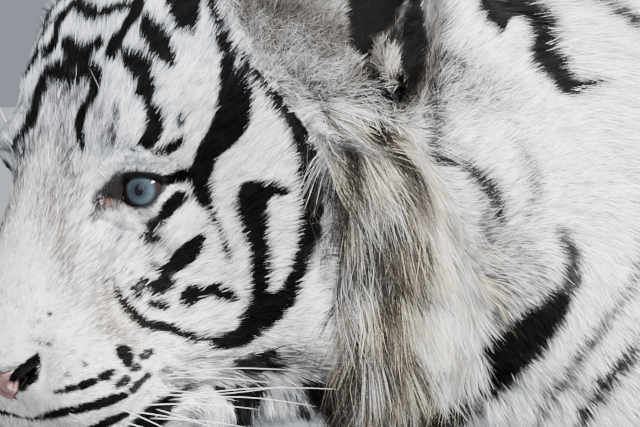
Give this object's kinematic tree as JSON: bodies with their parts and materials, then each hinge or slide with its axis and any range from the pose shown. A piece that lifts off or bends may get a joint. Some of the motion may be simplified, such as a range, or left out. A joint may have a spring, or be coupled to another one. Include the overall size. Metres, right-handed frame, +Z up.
{
  "type": "white tiger",
  "caption": "Life-size still model of an adult white tiger standing with its head low and turned to its left, in a thick striped coat.",
  "frame": {"origin": "middle of the bounding box's base, on the floor under the belly", "axes": "+Z up, the body faces -Y, the animal's left side is +X"},
  "size_m": [0.4234, 2.229, 0.9926],
  "materials": {
    "coat": "soft white fur with black-brown stripes",
    "nose_leather": "moist, finely grained pink skin",
    "eye": "wet and clear over a pale blue iris"
  },
  "bodies": {
    "root": {"head": "coat", "lower_jaw": "coat", "neck": "coat", "trunk": "coat", "ear_left": "coat", "ear_right": "coat", "upper_arm_left": "coat", "forearm_left": "coat", "fore_paw_left": "coat", "thigh_left": "coat", "shank_left": "coat", "hind_paw_left": "coat", "upper_arm_right": "coat", "forearm_right": "coat", "fore_paw_right": "coat", "thigh_right": "coat", "shank_right": "coat", "hind_paw_right": "coat", "tail_base": "coat", "tail_middle": "coat", "tail_tip": "coat", "nose": "nose_leather", "eye_left": "eye", "eye_right": "eye"}
  },
  "joints": []
}
